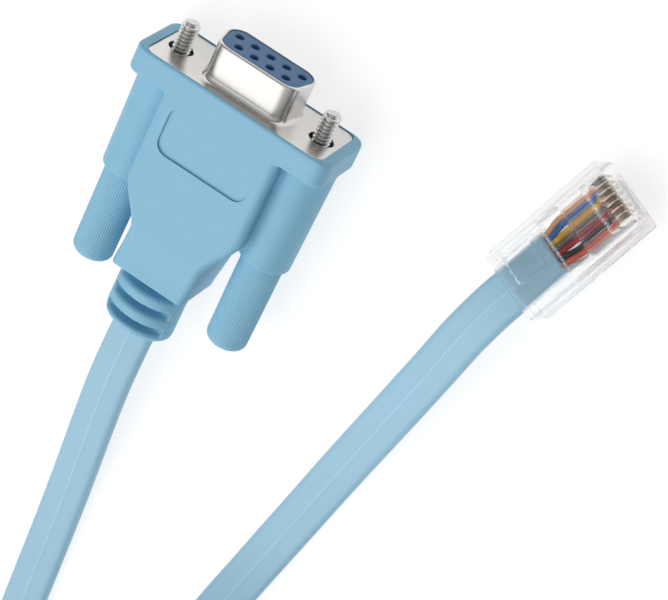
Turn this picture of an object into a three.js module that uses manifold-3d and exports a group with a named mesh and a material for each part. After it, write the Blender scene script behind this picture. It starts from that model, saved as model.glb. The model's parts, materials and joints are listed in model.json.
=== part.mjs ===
// Serial console cable: a moulded nine-contact D connector and a clear eight-contact modular plug
// on the two ends of a flat cable, whose spare length lies in a tied coil.
// Millimetres, +Z up. The connector lies flat on its broad face, its contacts pointing to +Y, and the
// origin is the centre of its footprint on the surface it lies on.

import * as THREE from 'three';
import { mergeVertices } from 'three/addons/utils/BufferGeometryUtils.js';
import Module from 'manifold-3d';

const wasm = await Module();
wasm.setup();

// Clearances
const mouldGap = 0.15; // round a piece that the moulding holds
const seatGap = 0.3; // between two faces that meet end to end
const runningGap = 0.2; // round the knobs in their sleeves
const overcut = 1; // of a cutting shape beyond the face that it opens

// Metal face of the D connector
const plateEar = 2.91; // from a screw's axis to the plate's near end
const plateWidth = 12.5;
const plateCorner = 1.6;
const plateThickness = 0.8;
const screwPitch = 24.99;
const plateHoleRadius = 1.95;
const shellLength = 16.33; // across the wide side, outside
const shellDepth = 7.9;
const shellCorner = 2.6;
const shellSlope = THREE.MathUtils.degToRad(10);
const shellReach = 6.12; // ahead of the plate's front face
const shellWall = 0.4;
const shellLip = 0.35; // rounding of the front edge

// Insulator and its contacts
const insulatorSetBack = 0.15; // behind the shell's front edge
const insulatorRearLength = 17.6;
const insulatorRearWidth = 9.4;
const insulatorRearDepth = 5.6;
const insulatorRearCorner = 0.8;
const contactPitch = 2.77;
const wideRowCount = 5;
const narrowRowCount = 4;
const rowPitch = 2.84;
const contactHoleRadius = 0.68;
const contactHoleFloor = 4.9; // behind the plate's front face
const contactRadius = 0.55;
const contactBoreRadius = 0.4;
const contactBoreDepth = 5;
const contactSetBack = 0.9; // behind the insulator's face

// Moulded hood
const rimEnd = 1.7; // of hood beyond each end of the plate
const rimSide = 0.35; // of hood beyond each long side of the plate
const rimProud = 0.2; // of hood ahead of the plate
const hoodCorner = 2.2;
const hoodEdge = 0.45;
const hoodFlangeDepth = 4.2;
const bodyHalfWidth = 10.2;
const bodyEdge = 1.1;
const taperStart = 18.6; // distances behind the plate's front face
const taperEnd = 27.2;
const neckHalfWidth = 6.5;
const slopeStart = 23.5;
const neckHalfHeight = 5.3;
const neckEnd = 34;
const sleeveRadius = 4.1; // at its open end
const sleeveRootRadius = 4.45; // inside the flange
const sleeveEnd = 22;
const sleeveChamfer = 0.3;
const labelHalfWidth = 7.9;
const labelFront = 4.9;
const labelBack = 13;
const labelCorner = 2;
const labelDepth = 0.25;

// Strain relief at the hood's tail
const reliefHalfWidth = 5.7;
const reliefHalfHeight = 4.5;
const reliefEnd = 44;
const reliefEdge = 1.4;
const reliefInNeck = 2;
const tailPull = -1.2; // sideways, of the relief, where the cable draws it
const pullStart = 24;
const pullEnd = 38;
const slotCount = 3;
const slotFirst = 34.6; // front edge of the first slot
const slotPitch = 3.2;
const slotLength = 1.3;
const slotHalfWidth = 4.8;
const slotFloor = 2.2; // above and below the middle

// Thumbscrews
const threadRadius = 1.42;
const threadTip = 4.75; // ahead of the plate's front face
const threadEnd = 2.2; // behind it
const threadPoint = 0.4;
const shankRadius = 1.05;
const shankInKnob = 5.5;
const webRadius = 1.35; // wider than the shank and narrower than the thread, so the screw stays in
const webThickness = 2.3;
const threadRoomRadius = 2.1;
const knobFrontRadius = 3.45;
const knobBackRadius = 3.25;
const knobFront = 9.5;
const knobBack = 37.9;
const knobRounding = 1.3;

// Flat cable
const cableWidth = 7.1;
const cableThickness = 2.4;
const cableCorner = 1;
const cableStepsFromHood = 24;
const cableStepsFromPlug = 46;

// Coil of spare cable, wound on edge
const coilX = 50;
const coilY = -127;
const turnPitch = 2.6;
const turnCount = 6.347;
const innerTurnRadius = 29.2;
const coilChamfer = 0.5;
const tieThickness = 0.5;
const tieWidth = 4;
const tieAngles = [-100, 35];

// Modular plug
const plugWidth = 11.68;
const plugHeight = 6.5;
const plugLength = 21.46;
const plugCorner = 0.6;
const plugEdge = 0.3;
const jacketInPlug = 8;
const plugMouthWidth = 8;
const plugMouthHeight = 3.2;
const plugMouthDepth = 8.6;
const wireCount = 8;
const wirePitch = 1.02;
const wirePitchInCable = 0.86;
const wireRadius = 0.45;
const wireEnd = 19.4;
const wireChamberEnd = 19.7;
const wireDrop = 0.7; // of the wires' centres below the cable's at their front ends
const bladeThickness = 0.35;
const bladeBack = 15.9;
const bladeFront = 20.9;
const bladeBottom = 0.05;
const bladeTop = 2.65;
const bladeCorner = 0.8;
const bladeSideGap = 0.12;
const pocketWidth = 6.4; // crimp bar over the jacket
const pocketBack = 2.2;
const pocketFront = 7.2;
const wireBarWidth = 8.6; // crimp bar over the wires
const wireBarBack = 10.6;
const wireBarFront = 13.4;
const roofThickness = 0.7; // of clear plastic left over the jacket
const wireRoof = 1.55; // and over the wires
const latchThickness = 0.95;
const latchRootWidth = 6;
const latchTailWidth = 3.25;
const latchRoot = 20.9; // along the plug, from its back
const latchShoulder = 12.8;
const latchTail = 6.3;
const latchDrop = 2.9; // of the tail below the plug
const latchInBody = 0.3; // of its root inside the housing
const latchBend = 1; // along the plug, of the curve at its root
const latchFillet = 1.6; // along the plug, from its root to the inside corner
const plugPlace = new THREE.Vector3(48.04, 16.94, 8.57);
const plugHeading = THREE.MathUtils.degToRad(-18.6);
const plugPitchAngle = THREE.MathUtils.degToRad(-9.5);
const plugRoll = THREE.MathUtils.degToRad(-16.6);

// Values that follow
const plateLength = screwPitch + 2 * plateEar;
const hoodLength = plateLength + 2 * rimEnd;
const hoodHeight = plateWidth + 2 * rimSide;
const bodyHalfHeight = hoodHeight / 2;
const insulatorFace = shellReach - insulatorSetBack;
const plateBack = -plateThickness;
const insulatorRearFront = plateBack - mouldGap;
const insulatorRearBack = insulatorRearFront - insulatorRearDepth;
const pocketFloor = insulatorRearBack - mouldGap;
const knobRoomFront = -(knobFront - seatGap);
const connectorY = (reliefEnd - shellReach) / 2;
const coilLift = tieThickness + seatGap;
const coilInner = innerTurnRadius - cableThickness / 2;
const coilOuter = innerTurnRadius + turnPitch * turnCount + cableThickness / 2;

const colours = {
  hood: { color: 0x87bed7, roughness: 0.6, metalness: 0 },
  cable: { color: 0x93c4de, roughness: 0.5, metalness: 0 },
  steel: { color: 0xc9c7c4, roughness: 0.3, metalness: 1 },
  insulator: { color: 0x3f6f9c, roughness: 0.5, metalness: 0 },
  gold: { color: 0xd8b25a, roughness: 0.25, metalness: 1 },
  clear: { color: 0xe9eef0, roughness: 0.08, metalness: 0, transparent: true, opacity: 0.35 },
  tie: { color: 0x1c1d1f, roughness: 0.5, metalness: 0 },
};
const wireColours = [0xe8b98a, 0x3c6fa8, 0xe0b84a, 0x55585c, 0xa8323a, 0x1f2a22, 0xc96a55, 0xb9b9b4];

// A polygon's outline with every corner rounded by an arc
function roundedPolygon(corners, radius) {
  const shape = new THREE.Shape();
  corners.forEach((corner, i) => {
    const before = corners[(i + corners.length - 1) % corners.length];
    const after = corners[(i + 1) % corners.length];
    const back = before.clone().sub(corner).normalize();
    const ahead = after.clone().sub(corner).normalize();
    const half = Math.acos(THREE.MathUtils.clamp(back.dot(ahead), -1, 1)) / 2;
    const start = corner.clone().addScaledVector(back, radius / Math.tan(half));
    const end = corner.clone().addScaledVector(ahead, radius / Math.tan(half));
    const bisector = back.clone().add(ahead).normalize();
    const centre = corner.clone().addScaledVector(bisector, radius / Math.sin(half));
    const from = start.clone().sub(centre);
    const to = end.clone().sub(centre);
    if (i === 0) shape.moveTo(start.x, start.y);
    else shape.lineTo(start.x, start.y);
    shape.absarc(centre.x, centre.y, radius, from.angle(), to.angle(), from.cross(to) < 0);
  });
  shape.closePath();
  return shape;
}

function roundedRectangle(width, height, radius) {
  const x = width / 2;
  const y = height / 2;
  const corners = [[-x, -y], [x, -y], [x, y], [-x, y]];
  return roundedPolygon(corners.map(([a, b]) => new THREE.Vector2(a, b)), radius);
}

// The D outline, its wide side down, drawn in from the shell's outer face by a distance
function dOutline(inset) {
  const y = shellDepth / 2 - inset;
  const sideInset = inset / Math.cos(shellSlope);
  const middle = shellLength / 2 - (shellDepth / 2) * Math.tan(shellSlope) - sideInset;
  const wide = middle + y * Math.tan(shellSlope);
  const narrow = middle - y * Math.tan(shellSlope);
  const corners = [[-wide, -y], [wide, -y], [narrow, y], [-narrow, y]];
  return roundedPolygon(corners.map(([a, b]) => new THREE.Vector2(a, b)), shellCorner - inset);
}

// A shape drawn in X and Z and extruded along Y between two places, its end edges rounded
function alongY(shape, yLow, yHigh, { edge = 0, curveSegments = 4, steps = 1 } = {}) {
  const geometry = new THREE.ExtrudeGeometry(shape, {
    depth: yHigh - yLow - 2 * edge,
    steps,
    curveSegments,
    bevelEnabled: edge > 0,
    bevelThickness: edge,
    bevelSize: edge,
    bevelOffset: -edge,
    bevelSegments: 2,
  });
  return geometry.rotateX(Math.PI / 2).translate(0, yHigh - edge, 0);
}

// A shape drawn in X and Y and extruded along Z between two heights
function alongZ(shape, zLow, zHigh, curveSegments = 4) {
  const options = { depth: zHigh - zLow, bevelEnabled: false, curveSegments };
  return new THREE.ExtrudeGeometry(shape, options).translate(0, 0, zLow);
}

function box(xLow, xHigh, yLow, yHigh, zLow, zHigh) {
  const geometry = new THREE.BoxGeometry(xHigh - xLow, yHigh - yLow, zHigh - zLow);
  return geometry.translate((xLow + xHigh) / 2, (yLow + yHigh) / 2, (zLow + zHigh) / 2);
}

// A solid of revolution about the Y axis, from pairs of radius and place
function turned(profile, segments = 32) {
  return new THREE.LatheGeometry(profile.map(([r, y]) => new THREE.Vector2(r, y)), segments);
}

function rod(radius, yLow, yHigh, segments = 32) {
  return turned([[0, yLow], [radius, yLow], [radius, yHigh], [0, yHigh]], segments);
}

// One closed solid from a geometry whose vertices are merged
function solid(geometry) {
  const bare = geometry.clone();
  bare.deleteAttribute('normal');
  bare.deleteAttribute('uv');
  const merged = mergeVertices(bare, 1e-4);
  const vertProperties = new Float32Array(merged.attributes.position.array);
  const triVerts = new Uint32Array(merged.index.array);
  return new wasm.Manifold(new wasm.Mesh({ numProp: 3, vertProperties, triVerts }));
}

const joined = (geometries) => geometries.map(solid).reduce((sum, next) => sum.add(next));

const cut = (body, geometries) => geometries.map(solid).reduce((left, tool) => left.subtract(tool), body);

function geometryOf(manifold) {
  const mesh = manifold.getMesh();
  const geometry = new THREE.BufferGeometry();
  geometry.setAttribute('position', new THREE.BufferAttribute(new Float32Array(mesh.vertProperties), 3));
  geometry.setIndex(new THREE.BufferAttribute(new Uint32Array(mesh.triVerts), 1));
  return geometry;
}

function mesh(name, geometry, finish) {
  geometry.computeVertexNormals();
  const piece = new THREE.Mesh(geometry, new THREE.MeshStandardMaterial(finish));
  piece.name = name;
  return piece;
}

// Moves every vertex of a geometry by a rule of its own place
function reshape(geometry, rule) {
  const place = geometry.attributes.position;
  const point = new THREE.Vector3();
  for (let i = 0; i < place.count; i += 1) {
    point.fromBufferAttribute(place, i);
    rule(point);
    place.setXYZ(i, point.x, point.y, point.z);
  }
  return geometry;
}

// The D connector's places of contacts: five in the wide row below, four in the row above
function contactPlaces() {
  const places = [];
  [wideRowCount, narrowRowCount].forEach((count, row) => {
    const z = (row - 0.5) * rowPitch;
    for (let i = 0; i < count; i += 1) places.push([(i - (count - 1) / 2) * contactPitch, z]);
  });
  return places;
}

const pulled = (behind) => tailPull * THREE.MathUtils.smoothstep(behind, pullStart, pullEnd);

// Central body of the hood: a rounded section that narrows and thins towards the neck
function hoodBody() {
  const section = roundedRectangle(2 * bodyHalfWidth, 2 * bodyHalfHeight, bodyEdge);
  const geometry = alongY(section, -neckEnd, -hoodFlangeDepth / 2, { curveSegments: 2, steps: 20 });
  return reshape(geometry, (point) => {
    const behind = -point.y;
    const narrowing = THREE.MathUtils.smoothstep(behind, taperStart, taperEnd);
    const thinning = THREE.MathUtils.smoothstep(behind, slopeStart, neckEnd);
    point.x += pulled(behind) - Math.sign(point.x) * (bodyHalfWidth - neckHalfWidth) * narrowing;
    point.z -= Math.sign(point.z) * (bodyHalfHeight - neckHalfHeight) * thinning;
  });
}

function sleeve(side) {
  const profile = [
    [0, -sleeveEnd],
    [sleeveRadius - sleeveChamfer, -sleeveEnd],
    [sleeveRadius, -sleeveEnd + sleeveChamfer],
    [sleeveRootRadius, -hoodFlangeDepth / 2],
    [0, -hoodFlangeDepth / 2],
  ];
  return turned(profile, 40).translate(side * screwPitch / 2, 0, 0);
}

// Room in the sleeve for the knob, the shank and the back of the thread
function screwRoom(side) {
  const webFront = knobRoomFront + webThickness;
  const knobRoom = rod(knobFrontRadius + runningGap, -sleeveEnd - overcut, knobRoomFront, 40);
  const shankRoom = rod(webRadius, knobRoomFront - overcut, webFront + overcut);
  const threadRoom = rod(threadRoomRadius, webFront, rimProud + overcut);
  return [knobRoom, shankRoom, threadRoom].map((g) => g.translate(side * screwPitch / 2, 0, 0));
}

function strainRelief() {
  const section = new THREE.Shape();
  section.absellipse(0, 0, reliefHalfWidth, reliefHalfHeight, 0, 2 * Math.PI, false, 0);
  const shaft = { edge: reliefEdge, curveSegments: 16, steps: 4 };
  return reshape(alongY(section, -reliefEnd, -neckEnd + reliefInNeck, shaft), (point) => {
    point.x += pulled(-point.y);
  });
}

function reliefSlots() {
  const slots = [];
  for (let i = 0; i < slotCount; i += 1) {
    const front = -(slotFirst + i * slotPitch);
    const back = front - slotLength;
    const above = box(-slotHalfWidth, slotHalfWidth, back, front, slotFloor, bodyHalfHeight);
    const below = box(-slotHalfWidth, slotHalfWidth, back, front, -bodyHalfHeight, -slotFloor);
    slots.push(...[above, below].map((g) => g.translate(pulled(-front), 0, 0)));
  }
  return slots;
}

function labelRecess() {
  const shape = roundedRectangle(2 * labelHalfWidth, labelBack - labelFront, labelCorner);
  const floor = bodyHalfHeight - labelDepth;
  return alongZ(shape, floor, bodyHalfHeight + overcut).translate(0, -(labelFront + labelBack) / 2, 0);
}

function hood() {
  const outline = roundedRectangle(hoodLength, hoodHeight, hoodCorner);
  const flange = alongY(outline, -hoodFlangeDepth, rimProud, { edge: hoodEdge });
  const seatFor = (length, width, corner) =>
    roundedRectangle(length + 2 * mouldGap, width + 2 * mouldGap, corner);
  const plateSeat = seatFor(plateLength, plateWidth, plateCorner);
  const insulatorSeat = seatFor(insulatorRearLength, insulatorRearWidth, insulatorRearCorner + mouldGap);
  const body = joined([flange, hoodBody(), sleeve(-1), sleeve(1), strainRelief()]);
  return geometryOf(cut(body, [
    alongY(plateSeat, plateBack - mouldGap, rimProud + overcut),
    alongY(insulatorSeat, pocketFloor, 0),
    labelRecess(),
    ...screwRoom(-1),
    ...screwRoom(1),
    ...reliefSlots(),
  ]));
}

function metalShell() {
  const plate = alongY(roundedRectangle(plateLength, plateWidth, plateCorner), -plateThickness, 0);
  const collar = alongY(dOutline(0), -plateThickness / 2, shellReach, { edge: shellLip });
  const hole = rod(plateHoleRadius, plateBack - overcut, overcut);
  const holes = [-1, 1].map((side) => hole.clone().translate(side * screwPitch / 2, 0, 0));
  const bore = alongY(dOutline(shellWall), plateBack - overcut, shellReach + overcut);
  return geometryOf(cut(joined([plate, collar]), [bore, ...holes]));
}

function insulator() {
  const front = alongY(dOutline(shellWall + mouldGap), insulatorRearBack, insulatorFace);
  const rearOutline = roundedRectangle(insulatorRearLength, insulatorRearWidth, insulatorRearCorner);
  const rear = alongY(rearOutline, insulatorRearBack, insulatorRearFront);
  const holes = contactPlaces().map(([x, z]) =>
    rod(contactHoleRadius, -contactHoleFloor, insulatorFace + overcut, 16).translate(x, 0, z));
  return geometryOf(cut(joined([front, rear]), holes));
}

function socketContact([x, z], i) {
  const back = -contactHoleFloor + seatGap;
  const front = insulatorFace - contactSetBack;
  const profile = [
    [0, back],
    [contactRadius, back],
    [contactRadius, front],
    [contactBoreRadius, front],
    [contactBoreRadius, front - contactBoreDepth],
    [0, front - contactBoreDepth],
  ];
  return mesh(`socket_contact_${i + 1}`, turned(profile, 12).translate(x, 0, z), colours.gold);
}

function knobGeometry() {
  const arc = new THREE.Path();
  arc.moveTo(0, -knobBack);
  arc.lineTo(knobBackRadius - knobRounding, -knobBack);
  const arcCentre = [knobBackRadius - knobRounding, -knobBack + knobRounding];
  arc.absarc(...arcCentre, knobRounding, -Math.PI / 2, 0, false);
  arc.lineTo(knobFrontRadius, -knobFront);
  arc.lineTo(shankRadius + mouldGap, -knobFront);
  arc.lineTo(shankRadius + mouldGap, -knobFront - shankInKnob - mouldGap);
  arc.lineTo(0, -knobFront - shankInKnob - mouldGap);
  return new THREE.LatheGeometry(arc.getPoints(3), 32);
}

function screwGeometry() {
  const shankBack = -(knobFront + shankInKnob);
  return turned([
    [0, shankBack],
    [shankRadius, shankBack],
    [shankRadius, -threadEnd - threadPoint],
    [threadRadius, -threadEnd],
    [threadRadius, threadTip - threadPoint],
    [threadRadius - threadPoint, threadTip],
    [0, threadTip],
  ], 24);
}

// A thumbscrew lies along the Y axis through its own hole in the plate
function thumbscrew(side, word) {
  const group = new THREE.Group();
  group.add(mesh(`knob_${word}`, knobGeometry(), colours.hood));
  group.add(mesh(`screw_${word}`, screwGeometry(), colours.steel));
  group.position.x = side * screwPitch / 2;
  return group;
}

// A route for the flat cable: its width stays level but for a roll, in degrees, stated at each point
class FlatRoute extends THREE.CatmullRomCurve3 {
  constructor(rows) {
    super(rows.map(([x, y, z]) => new THREE.Vector3(x, y, z)), false, 'centripetal');
    this.rolls = rows.map((row) => THREE.MathUtils.degToRad(row[3]));
  }

  rollAt(u) {
    const place = this.getUtoTmapping(u) * (this.rolls.length - 1);
    const before = Math.min(Math.floor(place), this.rolls.length - 2);
    return THREE.MathUtils.lerp(this.rolls[before], this.rolls[before + 1], place - before);
  }

  computeFrenetFrames(segments) {
    const frames = { tangents: [], normals: [], binormals: [] };
    const up = new THREE.Vector3(0, 0, 1);
    for (let i = 0; i <= segments; i += 1) {
      const tangent = this.getTangentAt(i / segments);
      const side = tangent.clone().cross(up).normalize();
      side.applyAxisAngle(tangent, this.rollAt(i / segments));
      frames.tangents.push(tangent);
      frames.normals.push(side);
      frames.binormals.push(tangent.clone().cross(side));
    }
    return frames;
  }
}

function flatCable(route, steps) {
  const section = roundedRectangle(cableWidth, cableThickness, cableCorner);
  return new THREE.ExtrudeGeometry(section, { extrudePath: new FlatRoute(route), steps, curveSegments: 1 });
}

// From the strain relief down to the surface, then turned on edge beside the coil: x, y, z, roll
const routeFromHood = [
  [-1.2, -25.36, 6.6, 0],
  [-1.35, -31, 6.5, 0],
  [-1.5, -38, 5.8, 0],
  [-1.55, -46, 4.4, 0],
  [-1.5, -54, 3, 0],
  [-1.35, -62, 1.95, 0],
  [-1.1, -70, 1.45, 0],
  [-0.8, -78, 1.27, 0],
  [-0.5, -85, 1.3, 0],
  [-0.1, -91, 2.1, 18],
  [0.4, -97, 3.2, 42],
  [1, -103, 3.95, 66],
  [1.7, -109, 4.3, 84],
  [2.4, -116, 4.35, 90],
];

// From inside the plug down to the surface, over the coil in a low hump, and on edge inside it
const routeFromPlug = [
  [50.56, 24.42, 7.25, 16.6],
  [49.3, 20.68, 7.91, 16.6],
  [48.04, 16.94, 8.57, 16.6],
  [46.78, 13.2, 9.1, 16],
  [44.9, 6.5, 8.9, 12],
  [43.1, -1.5, 7.6, 8],
  [41.1, -10, 5.7, 4],
  [39.2, -18, 3.9, 2],
  [37.3, -26, 2.4, 0],
  [35.5, -34, 1.5, 0],
  [33.8, -42, 1.27, 0],
  [32.2, -49.5, 1.4, 0],
  [30.8, -56.5, 2.4, 0],
  [29.4, -64, 4.5, 0],
  [28.8, -71, 7, 0],
  [29.3, -78, 9.1, 0],
  [31, -84.5, 9.6, 0],
  [35.2, -92.3, 9.7, 0],
  [40, -98.4, 9.65, 0],
  [45.6, -103.8, 9.5, 4],
  [51.8, -108.3, 8.8, 20],
  [58.6, -111.6, 7.6, 42],
  [65, -114.6, 6.2, 64],
  [71, -119, 5, 82],
  [75.4, -125.4, 4.4, 90],
];

function coil() {
  const low = coilLift;
  const high = coilLift + cableWidth;
  const profile = [
    [coilInner + coilChamfer, low],
    [coilOuter - coilChamfer, low],
    [coilOuter, low + coilChamfer],
    [coilOuter, high - coilChamfer],
    [coilOuter - coilChamfer, high],
    [coilInner + coilChamfer, high],
    [coilInner, high - coilChamfer],
    [coilInner, low + coilChamfer],
    [coilInner + coilChamfer, low],
  ];
  const geometry = turned(profile, 48).rotateX(Math.PI / 2);
  return mesh('cable_coil', geometry.translate(coilX, coilY, 0), colours.cable);
}

// A band closed round the coil's section
function tie(angle, i) {
  const ringWidth = coilOuter - coilInner + 2 * seatGap;
  const ringHeight = cableWidth + 2 * seatGap;
  const outerCorner = coilChamfer + tieThickness;
  const band = roundedRectangle(ringWidth + 2 * tieThickness, ringHeight + 2 * tieThickness, outerCorner);
  band.holes.push(roundedRectangle(ringWidth, ringHeight, coilChamfer));
  const geometry = alongY(band, -tieWidth / 2, tieWidth / 2, { curveSegments: 1 });
  geometry.translate((coilInner + coilOuter) / 2, 0, coilLift + cableWidth / 2);
  const piece = mesh(`coil_tie_${i + 1}`, geometry, colours.tie);
  piece.position.set(coilX, coilY, 0);
  piece.rotation.z = THREE.MathUtils.degToRad(angle);
  return piece;
}

// The plug's own frame: its back face at y = 0, its nose ahead on +Y, its contacts on top
function latch() {
  const under = -plugHeight / 2;
  const rise = latchDrop / (latchRoot - latchTail);
  const depthAt = (y) => under - (latchRoot - y) * rise;
  const arm = (back, width) => {
    const shape = new THREE.Shape();
    shape.moveTo(latchRoot, under + latchInBody);
    shape.lineTo(latchRoot, under - latchThickness / 2);
    shape.lineTo(latchRoot - latchBend, depthAt(latchRoot - latchBend) - latchThickness);
    shape.lineTo(back, depthAt(back) - latchThickness);
    shape.lineTo(back, depthAt(back));
    shape.lineTo(latchRoot - 2 * latchBend, depthAt(latchRoot - 2 * latchBend));
    shape.lineTo(latchRoot - latchFillet, under + latchInBody);
    shape.closePath();
    const plate = new THREE.ExtrudeGeometry(shape, { depth: width, bevelEnabled: false });
    const turn = new THREE.Matrix4().makeBasis(
      new THREE.Vector3(0, 1, 0), new THREE.Vector3(0, 0, 1), new THREE.Vector3(1, 0, 0));
    return plate.applyMatrix4(turn).translate(-width / 2, 0, 0);
  };
  return [arm(latchShoulder, latchRootWidth), arm(latchTail, latchTailWidth)];
}

const bladePlace = (i) => (i - (wireCount - 1) / 2) * wirePitch;

function plugHousing() {
  const top = plugHeight / 2;
  const section = roundedRectangle(plugWidth, plugHeight, plugCorner);
  const body = joined([alongY(section, 0, plugLength, { edge: plugEdge, curveSegments: 2 }), ...latch()]);
  const wireTop = -wireDrop + wireRadius + mouldGap;
  const wireBottom = -wireDrop - wireRadius - mouldGap;
  const chamberHalf = bladePlace(wireCount - 1) + wireRadius + mouldGap;
  const mouthHalf = plugMouthWidth / 2;
  const mouthTop = plugMouthHeight / 2;
  const slotHalf = bladeThickness / 2 + bladeSideGap;
  const slotBottom = wireTop - mouldGap / 2;
  const slots = [];
  for (let i = 0; i < wireCount; i += 1) {
    const x = bladePlace(i);
    const slotBack = bladeBack - seatGap;
    slots.push(box(x - slotHalf, x + slotHalf, slotBack, plugLength + overcut, slotBottom, top + overcut));
  }
  return geometryOf(cut(body, [
    box(-mouthHalf, mouthHalf, -overcut, plugMouthDepth, -mouthTop, mouthTop),
    box(-chamberHalf, chamberHalf, plugMouthDepth - overcut, wireChamberEnd, wireBottom, wireTop),
    box(-chamberHalf, chamberHalf, plugMouthDepth - overcut, wireBarBack, wireBottom, mouthTop),
    box(-pocketWidth / 2, pocketWidth / 2, pocketBack, pocketFront, mouthTop + roofThickness, top + overcut),
    box(-wireBarWidth / 2, wireBarWidth / 2, wireBarBack, wireBarFront, wireTop + wireRoof, top + overcut),
    ...slots,
  ]));
}

function conductor(i) {
  const inCable = (i - (wireCount - 1) / 2) * wirePitchInCable;
  const x = bladePlace(i);
  const start = jacketInPlug + seatGap;
  const straight = 0.6;
  const path = new THREE.CatmullRomCurve3([
    new THREE.Vector3(inCable, start, 0),
    new THREE.Vector3(inCable, start + straight, 0),
    new THREE.Vector3(x, wireBarBack + 1, -wireDrop),
    new THREE.Vector3(x, wireEnd, -wireDrop),
  ], false, 'centripetal');
  const round = new THREE.Shape().absarc(0, 0, wireRadius, 0, 2 * Math.PI, false);
  const geometry = new THREE.ExtrudeGeometry(round, { extrudePath: path, steps: 8, curveSegments: 4 });
  return mesh(`conductor_${i + 1}`, geometry, { color: wireColours[i], roughness: 0.5, metalness: 0 });
}

function contactBlade(i) {
  const shape = new THREE.Shape();
  shape.moveTo(bladeBack, bladeBottom);
  shape.lineTo(bladeFront, bladeBottom);
  shape.lineTo(bladeFront, bladeTop - bladeCorner);
  shape.absarc(bladeFront - bladeCorner, bladeTop - bladeCorner, bladeCorner, 0, Math.PI / 2, false);
  shape.lineTo(bladeBack, bladeTop);
  shape.closePath();
  const options = { depth: bladeThickness, bevelEnabled: false, curveSegments: 4 };
  const plate = new THREE.ExtrudeGeometry(shape, options);
  const turn = new THREE.Matrix4().makeBasis(
    new THREE.Vector3(0, 1, 0), new THREE.Vector3(0, 0, 1), new THREE.Vector3(1, 0, 0));
  plate.applyMatrix4(turn).translate(bladePlace(i) - bladeThickness / 2, 0, 0);
  return mesh(`contact_blade_${i + 1}`, plate, colours.gold);
}

function connector() {
  const group = new THREE.Group();
  group.add(mesh('hood', hood(), colours.hood));
  group.add(mesh('metal_shell', metalShell(), colours.steel));
  group.add(mesh('insulator', insulator(), colours.insulator));
  contactPlaces().forEach((place, i) => group.add(socketContact(place, i)));
  group.add(thumbscrew(-1, 'left'), thumbscrew(1, 'right'));
  group.position.set(0, connectorY, hoodHeight / 2);
  return group;
}

function plug() {
  const group = new THREE.Group();
  group.add(mesh('plug_housing', plugHousing(), colours.clear));
  for (let i = 0; i < wireCount; i += 1) group.add(conductor(i), contactBlade(i));
  group.position.copy(plugPlace);
  group.rotation.set(plugPitchAngle, plugRoll, plugHeading, 'ZXY');
  return group;
}

const cable = new THREE.Group();
cable.add(mesh('cable_from_hood', flatCable(routeFromHood, cableStepsFromHood), colours.cable));
cable.add(mesh('cable_from_plug', flatCable(routeFromPlug, cableStepsFromPlug), colours.cable));
cable.add(coil(), ...tieAngles.map(tie));

const part = new THREE.Group();
part.add(connector(), cable, plug());

export default part;
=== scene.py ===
"""Looks of a serial console cable: a moulded nine-contact D connector and a clear modular plug on a
flat cable, its spare length in a tied coil. Sizes are in millimetres, and each finished mesh is
scaled to metres where it becomes an object."""

import json
import math

import bmesh
import bpy
from mathutils import Matrix, Vector


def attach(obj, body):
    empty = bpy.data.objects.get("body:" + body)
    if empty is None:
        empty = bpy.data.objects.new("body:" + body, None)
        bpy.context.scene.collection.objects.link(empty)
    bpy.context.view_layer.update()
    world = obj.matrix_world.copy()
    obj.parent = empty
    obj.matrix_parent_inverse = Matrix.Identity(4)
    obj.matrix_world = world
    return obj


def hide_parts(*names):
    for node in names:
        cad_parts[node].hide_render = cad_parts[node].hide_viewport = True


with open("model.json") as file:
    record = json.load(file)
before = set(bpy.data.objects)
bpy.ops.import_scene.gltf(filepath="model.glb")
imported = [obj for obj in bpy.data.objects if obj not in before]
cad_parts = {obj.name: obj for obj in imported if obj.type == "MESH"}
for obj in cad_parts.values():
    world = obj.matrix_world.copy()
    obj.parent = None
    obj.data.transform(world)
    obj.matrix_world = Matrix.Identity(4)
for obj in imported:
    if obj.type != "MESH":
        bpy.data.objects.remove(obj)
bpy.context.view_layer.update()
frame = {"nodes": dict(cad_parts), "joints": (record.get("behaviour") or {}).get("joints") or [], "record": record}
scene = bpy.context.scene

MM = 0.001
UP = Vector((0, 0, 1))
OVERCUT = 1
EDGE_TOLERANCE = 1e-4
ALONG = 0.99

# Places taken from the frame
mounts = {mount["name"]: Vector(mount["pos_m"]) / MM for mount in frame["record"]["mounts"]}
screw_axis = Vector(frame["joints"][1]["pos_m"]) / MM
PLATE_Y = mounts["plate_face"].y
AXIS_Z = screw_axis.z
SCREW_X = screw_axis.x
connector_place = Matrix.Translation((0, PLATE_Y, AXIS_Z))

# Camera
CAMERA_PLACE = (117.785, 226.817, 389.288)
CAMERA_RIGHT = Vector((0.81608, 0.38640, -0.42977))
CAMERA_BACK = Vector((0.20412, 0.50300, 0.83984))
CAMERA_LENS = 167.74
SENSOR_WIDTH = 36

# Studio light: a dome, dark at the horizon and pale overhead, with one broad soft source in it
DOME_STOPS = ((0.0, 0.08), (0.75, 0.5))
SOFTBOX_DIRECTION = (-0.3, -0.55, 0.78)
SOFTBOX_EDGE = (0.7, 0.96)
SOFTBOX_STRENGTH = 2.3
SOFTBOX_IN_REFLECTIONS = 0.42
FLOOR_GREY = 0.32
FLOOR_GLOW = 0.74

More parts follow.
